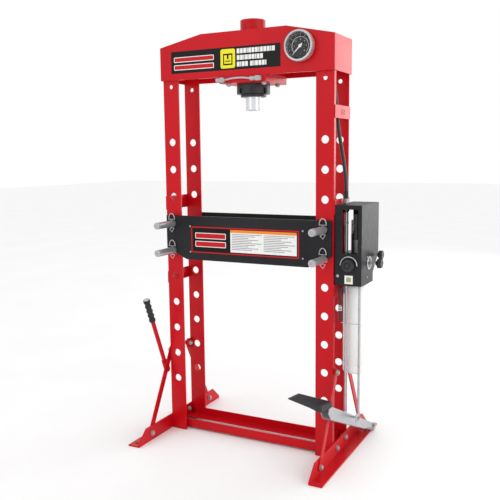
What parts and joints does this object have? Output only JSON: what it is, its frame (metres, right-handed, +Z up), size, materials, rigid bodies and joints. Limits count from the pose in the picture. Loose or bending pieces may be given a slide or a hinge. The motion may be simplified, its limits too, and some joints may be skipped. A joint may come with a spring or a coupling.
{
  "type": "hydraulic shop press",
  "caption": "Floor-standing H-frame shop press with punched posts, a ram in the head, a pinned bed, a pressure gauge and a foot-pedal oil pump at the side.",
  "frame": {"origin": "on the floor, under the ram's axis, at the centre of the four anchor holes", "axes": "+Z up along the ram, +X to the operator's right, -Y towards the operator"},
  "size_m": [1.01, 0.7, 1.8],
  "materials": {
    "red_paint": "gloss",
    "black_paint": "satin",
    "zinc": "satin",
    "chrome_rod": "polished",
    "gauge_steel": "satin",
    "blackened_steel": "satin",
    "machined_steel": "machined",
    "motor_alloy": "cast",
    "spring_steel": "oiled",
    "black_rubber": "matte",
    "black_plastic": "moulded",
    "tank_plastic": "translucent",
    "dial_black": "printed",
    "needle_white": "satin",
    "gauge_glass": "clear",
    "seal_rubber": "matte"
  },
  "bodies": {
    "frame": {"air_motor": "motor_alloy", "braces": "red_paint", "cylinder_cap": "red_paint", "cylinder_tube": "red_paint", "feed_pipe": "zinc", "foot_left": "red_paint", "foot_right": "red_paint", "frame_bolts": "zinc", "front_crossbar": "red_paint", "gauge_bezel": "gauge_steel", "gauge_case": "gauge_steel", "gauge_dial": "dial_black", "gauge_lens": "gauge_glass", "gauge_pipe": "zinc", "head_cross_plates": "red_paint", "head_front_plate": "red_paint", "head_rear_plate": "red_paint", "hose_fittings": "zinc", "hose_guard": "red_paint", "lever_sleeve": "red_paint", "oil_hose": "black_rubber", "oil_tank": "tank_plastic", "pedal_bracket": "zinc", "post_front_left": "red_paint", "post_front_right": "red_paint", "post_rear_left": "red_paint", "post_rear_right": "red_paint", "pump_block": "blackened_steel", "pump_cover": "black_paint", "ram_plate": "red_paint", "rear_crossbar": "red_paint", "ring_nut": "blackened_steel", "rod_gland": "blackened_steel", "socket_bracket": "blackened_steel", "tie_plates": "red_paint"},
    "ram": {"piston_rod": "chrome_rod", "piston_head": "machined_steel", "piston_seal": "seal_rubber", "ram_spring": "spring_steel"},
    "bed": {"bed_front_plate": "black_paint", "bed_rear_plate": "black_paint", "bed_spacers": "black_paint", "bed_screws": "zinc"},
    "pin_left_lower": {"bed_pin_left_lower": "zinc"},
    "pin_left_upper": {"bed_pin_left_upper": "zinc"},
    "pin_right_lower": {"bed_pin_right_lower": "zinc"},
    "pin_right_upper": {"bed_pin_right_upper": "zinc"},
    "needle": {"gauge_needle": "needle_white"},
    "valve_knob": {"air_valve_knob": "black_plastic"},
    "release": {"release_knob": "black_plastic"},
    "regulator": {"regulator_knob": "black_plastic"},
    "socket": {"pump_socket": "blackened_steel"},
    "plunger": {"pump_plunger": "zinc"},
    "pedal": {"pedal_arm": "zinc", "pedal_tread": "black_plastic"},
    "pull": {"pull_rod": "zinc", "pedal_spring": "spring_steel"},
    "valve": {"valve_rod": "zinc"},
    "lever": {"lever_tube": "red_paint", "lever_grip": "black_rubber"}
  },
  "joints": [
    {"name": "ram_stroke", "type": "slide", "parent": "frame", "child": "ram", "axis": [0, 0, -1], "range_m": [0, 0.15], "deforming": ["ram_spring"]},
    {"name": "bed_height", "type": "slide", "parent": "frame", "child": "bed", "axis": [0, 0, 1], "range_m": [-0.354, 0.354]},
    {"name": "pin_left_lower_pull", "type": "slide", "parent": "bed", "child": "pin_left_lower", "axis": [0, -1, 0], "range_m": [0, 0.24]},
    {"name": "pin_left_upper_pull", "type": "slide", "parent": "bed", "child": "pin_left_upper", "axis": [0, -1, 0], "range_m": [0, 0.24]},
    {"name": "pin_right_lower_pull", "type": "slide", "parent": "bed", "child": "pin_right_lower", "axis": [0, -1, 0], "range_m": [0, 0.24]},
    {"name": "pin_right_upper_pull", "type": "slide", "parent": "bed", "child": "pin_right_upper", "axis": [0, -1, 0], "range_m": [0, 0.24]},
    {"name": "needle_swing", "type": "hinge", "parent": "frame", "child": "needle", "pos_m": [0.26, -0.1145, 1.664], "axis": [0, 1, 0], "range_deg": [0, 270]},
    {"name": "valve_knob_turn", "type": "hinge", "parent": "frame", "child": "valve_knob", "pos_m": [0.455, -0.095, 0.812], "axis": [0, -1, 0], "range_deg": [0, 90]},
    {"name": "release_turn", "type": "hinge", "parent": "frame", "child": "release", "pos_m": [0.548, 0.014, 0.812], "axis": [1, 0, 0], "range_deg": [0, 270]},
    {"name": "regulator_turn", "type": "hinge", "parent": "frame", "child": "regulator", "pos_m": [0.535, 0.076, 0.838], "axis": [1, 0, 0], "range_deg": [0, 270]},
    {"name": "pump_stroke", "type": "hinge", "parent": "frame", "child": "socket", "pos_m": [0.476, -0.05, 0.925], "axis": [1, 0, 0], "range_deg": [0, 40]},
    {"name": "plunger_stroke", "type": "slide", "parent": "frame", "child": "plunger", "axis": [0, 0, 1], "range_m": [0, 0.02]},
    {"name": "pedal_press", "type": "hinge", "parent": "frame", "child": "pedal", "pos_m": [0.44, 0.272, 0.026], "axis": [1, 0, 0], "range_deg": [0, 8], "stiffness_Nm_per_rad": 60, "springref_deg": -14.32},
    {"name": "pull_rod_travel", "type": "slide", "parent": "frame", "child": "pull", "axis": [0, 0, -1], "range_m": [0, 0.046], "deforming": ["pedal_spring"]},
    {"name": "valve_rod_travel", "type": "slide", "parent": "frame", "child": "valve", "axis": [0, 0, -1], "range_m": [0, 0.046]},
    {"name": "lever_draw", "type": "slide", "parent": "frame", "child": "lever", "axis": [0, -0.3778, 0.9259], "range_m": [0, 0.07]}
  ],
  "couplings": [
    {"joint": "plunger_stroke", "follows": "pump_stroke", "m_per_rad": 0.025},
    {"joint": "pull_rod_travel", "follows": "pedal_press", "m_per_rad": 0.322},
    {"joint": "valve_rod_travel", "follows": "pedal_press", "m_per_rad": 0.322}
  ]
}
